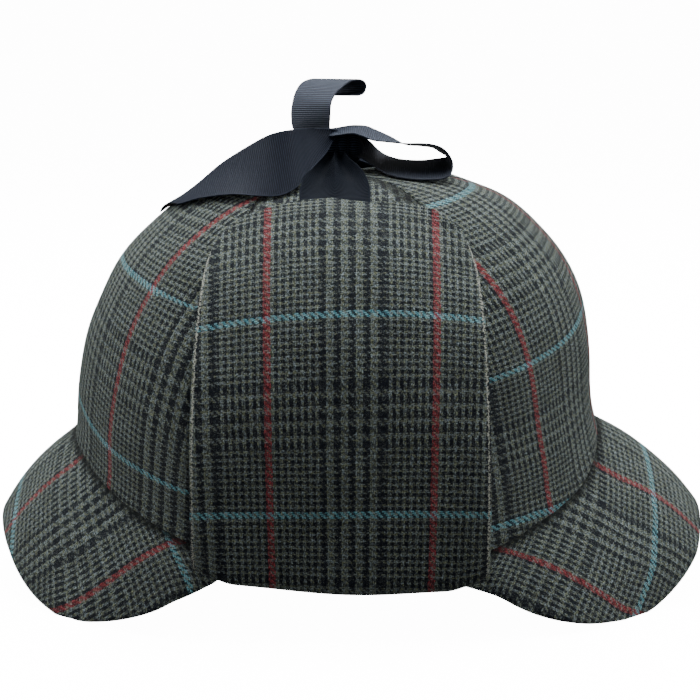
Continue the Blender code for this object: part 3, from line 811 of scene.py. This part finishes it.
# %% Roots
NEAR_ROOT = (
    (-18.3, -47.0, 150.6, 7.5, -45.0, 151.8, 0.0),
    (-18.5, -41.0, 154.9, 7.5, -40.0, 155.3, 0.0),
    (-18.6, -35.5, 158.2, 7.3, -34.5, 159.0, 1.6),
    (-17.2, -29.0, 161.6, 6.0, -28.0, 162.2, 2.6),
    (-14.5, -21.0, 164.4, 3.2, -20.0, 164.8, 3.6),
    (-11.6, -13.0, 167.0, -0.4, -12.0, 167.4, 3.2),
    (-9.4, -7.0, 169.4, -2.0, -6.5, 169.6, 2.8),
    (-8.4, -4.0, 171.4, -2.6, -4.0, 171.4, 2.0),
)
FAR_ROOT = (
    (-14.0, 41.0, 155.6, 11.5, 41.0, 155.6, 0.0),
    (-13.8, 35.0, 159.4, 11.3, 35.0, 159.4, 0.8),
    (-11.5, 26.0, 163.0, 10.0, 26.0, 163.0, 1.6),
    (-8.5, 17.0, 165.6, 6.5, 17.0, 165.6, 2.4),
    (-6.5, 10.0, 167.8, 2.5, 10.0, 167.8, 2.8),
    (-5.5, 5.0, 170.4, 0.5, 5.0, 170.4, 2.4),
)
# The near root gets painted shade, growing towards the knot, for the shade of the bow above it.
near_root = make_ribbon("ribbon_root_near", NEAR_ROOT, 32, 40,
                        2, grosgrain_shaded, ((0.0, 0.45), (1.0, 0.85)))
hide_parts("ribbon_right")
far_root = make_ribbon("ribbon_root_far", FAR_ROOT, 32, 30,
                       2, grosgrain_shaded)
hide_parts("ribbon_left")

# %% [markdown]
# The knot is a turn of the same ribbon round the gathered rest. Most of it lies in the
# shade of the bow, so its soft creases are enough.

# %% Knot
KNOT_CENTRE = (-3.0, 0.0, 172.0)
KNOT_TURNS = 20
knot_rows = []
for step in range(KNOT_TURNS + 1):
    turn = 2 * math.pi * step / KNOT_TURNS
    reach = 5.7 + 0.4 * math.sin(2 * turn)
    y, z = reach * math.sin(turn), KNOT_CENTRE[2] - reach * math.cos(turn)
    knot_rows.append((KNOT_CENTRE[0] - 6.6, y, z, KNOT_CENTRE[0] + 6.6, y, z, 2.2))
# The knot takes the darker copy of the ribbon: painted shade for the shade of the bow.
knot_wrap = make_ribbon("knot_wrap", knot_rows, 24, 60,
                        3, grosgrain_shaded)
bpy.ops.object.select_all(action="DESELECT")
bpy.ops.mesh.primitive_uv_sphere_add(segments=24, ring_count=16, radius=5.6 * MM,
                                     location=Vector(KNOT_CENTRE) * MM)
knot_heart = bpy.context.object
knot_heart.name = "knot_heart"
bpy.ops.object.mode_set(mode="EDIT")
bpy.ops.transform.resize(value=(1.5, 1.0, 1.0), center_override=Vector(KNOT_CENTRE) * MM)
bpy.ops.object.mode_set(mode="OBJECT")
bpy.ops.object.transform_apply()
bpy.ops.object.shade_smooth()
heart_points = points_of(knot_heart)
set_cloth_uv(knot_heart, heart_points[:, 2], heart_points[:, 1])
knot_heart.data.materials.append(grosgrain_shaded)
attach(knot_heart, "root")
print("knot:", knot_wrap.name, knot_heart.name)

# %% [markdown]
# One tail falls to the back of the hat. It leaves the knot gathered, spreads into a broad
# standing sheet that faces the side, turns flat and ends in a slanting cut.

# %% Long tail
LONG_TAIL = (
    (-4.3, -3.5, 175.1, -4.8, -4.0, 178.8, 0.6),
    (-6.3, -6.0, 175.4, -7.9, -6.0, 179.4, 0.8),
    (-9.6, -12.0, 170.3, -14.5, -12.0, 179.9, 0.8),
    (-15.4, -24.0, 164.7, -18.8, -17.0, 180.1, 0.5),
    (-19.7, -33.0, 159.7, -23.6, -20.5, 179.8, 0.3),
    (-25.6, -36.0, 156.9, -30.0, -21.0, 178.3, 0.2),
    (-33.4, -35.0, 156.6, -37.3, -17.5, 174.5, 0.0),
    (-44.1, -32.0, 156.9, -49.3, -9.0, 166.7, 0.0),
    (-56.1, -27.0, 155.3, -59.4, -3.0, 158.6, -0.6),
    (-63.0, -23.0, 153.6, -70.1, 0.0, 151.0, -1.6),
    (-66.0, -21.5, 152.8, -75.3, 0.0, 147.3, -1.8),
)
long_tail = make_ribbon("ribbon_tail_long", LONG_TAIL, 20, 90,
                        1, grosgrain_tail_shaded)
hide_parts("ribbon_left")

# %% [markdown]
# The other tail stands up behind it. Its end has kept the roll of the spool and curls over,
# away from the camera, so that its dark inner face shows in the roll.

# %% Standing tail
STANDING_TAIL = (
    (-6.8, 3.0, 171.9, -2.9, -1.5, 172.7, 1.5),
    (-14.0, 8.0, 174.8, -5.3, -2.0, 176.3, 1.2),
    (-21.8, 13.0, 177.4, -7.7, 1.4, 178.8, 0.5),
    (-23.4, 14.0, 183.0, -7.7, -1.4, 184.0, 0.0),
    (-22.9, 14.2, 188.3, -7.3, -3.0, 189.0, 0.0),
    (-21.8, 15.2, 192.3, -5.6, -1.0, 192.7, 0.0),
    (-19.8, 17.2, 195.6, -3.1, 1.2, 195.1, 0.0),
    (-16.9, 19.8, 197.2, 0.0, 4.2, 197.2, 0.0),
    (-13.5, 23.0, 197.5, 3.3, 8.0, 197.8, 0.0),
    (-11.2, 25.6, 196.3, 5.7, 10.8, 196.8, 0.0),
    (-10.4, 26.6, 194.3, 6.4, 11.6, 194.9, 0.0),
    (-11.2, 26.0, 192.0, 5.6, 10.9, 192.6, 0.0),
    (-13.3, 24.2, 191.0, 3.5, 9.2, 191.6, 0.0),
    (-16.6, 21.2, 191.5, 0.2, 6.2, 191.8, 0.0),
)
# Painted shade at the tail's foot, where it rises from the knot in the shade of the bow.
standing_tail = make_ribbon("ribbon_tail_standing", STANDING_TAIL, 16, 90,
                            1, grosgrain, ((0.0, 0.9), (0.16, 0.7), (0.3, 0.0)))
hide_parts("ribbon_right")

# %% [markdown]
# The bow has one loop. Its upper strand leaves the knot over the tail's edge, turns on its
# side as it runs out, comes round and returns along the crown in the shade.

# %% Loop
LOOP = (
    (-8.7, -7.0, 176.9, -8.7, 1.5, 179.2, 0.6),
    (-5.4, -8.0, 177.3, -5.5, 3.0, 179.5, 0.6),
    (0.8, -9.0, 178.0, 0.8, 5.0, 180.2, 0.3),
    (4.6, -10.0, 177.0, 6.3, 7.0, 179.7, 0.0),
    (8.5, -11.0, 175.5, 9.9, 9.0, 178.2, 0.0),
    (13.8, -12.0, 174.9, 15.9, 11.0, 175.4, 0.0),
    (21.1, -12.3, 174.3, 21.9, 12.0, 172.2, 0.0),
    (27.0, -12.4, 174.3, 27.9, 12.0, 171.6, 0.0),
    (31.6, -12.4, 173.9, 32.8, 12.0, 170.9, 0.0),
    (35.3, -12.4, 172.6, 36.3, 12.0, 168.9, 0.0),
    (38.0, -12.4, 170.0, 38.0, 12.0, 167.9, 0.0),
    (39.5, -12.5, 166.6, 38.6, 12.0, 167.2, 0.0),
    (38.5, -16.0, 163.0, 37.7, 9.5, 167.1, 0.0),
    (34.7, -18.0, 161.2, 35.0, 7.5, 166.9, 0.0),
    (26.9, -18.5, 161.0, 28.2, 7.0, 166.2, 0.0),
    (19.9, -18.0, 161.6, 20.4, 7.0, 166.6, 0.0),
    (14.6, -15.0, 162.4, 14.6, 8.5, 167.8, 0.6),
    (10.5, -9.4, 163.9, 10.5, 9.4, 170.0, 1.4),
    (6.2, -6.8, 166.2, 7.0, 7.0, 173.3, 2.0),
    (2.5, -5.4, 168.1, 3.7, 5.2, 175.4, 2.0),
    (-1.0, -4.4, 168.7, -0.4, 3.8, 175.6, 1.6),
)
# The returning strand lies in the shade of the upper one, so it gets painted shade.
loop = make_ribbon("ribbon_loop", LOOP, 20, 120,
                   1, grosgrain,
                   ((0.0, 0.0), (0.5, 0.0), (0.58, 0.6), (1.0, 0.75)))
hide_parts("ribbon_left")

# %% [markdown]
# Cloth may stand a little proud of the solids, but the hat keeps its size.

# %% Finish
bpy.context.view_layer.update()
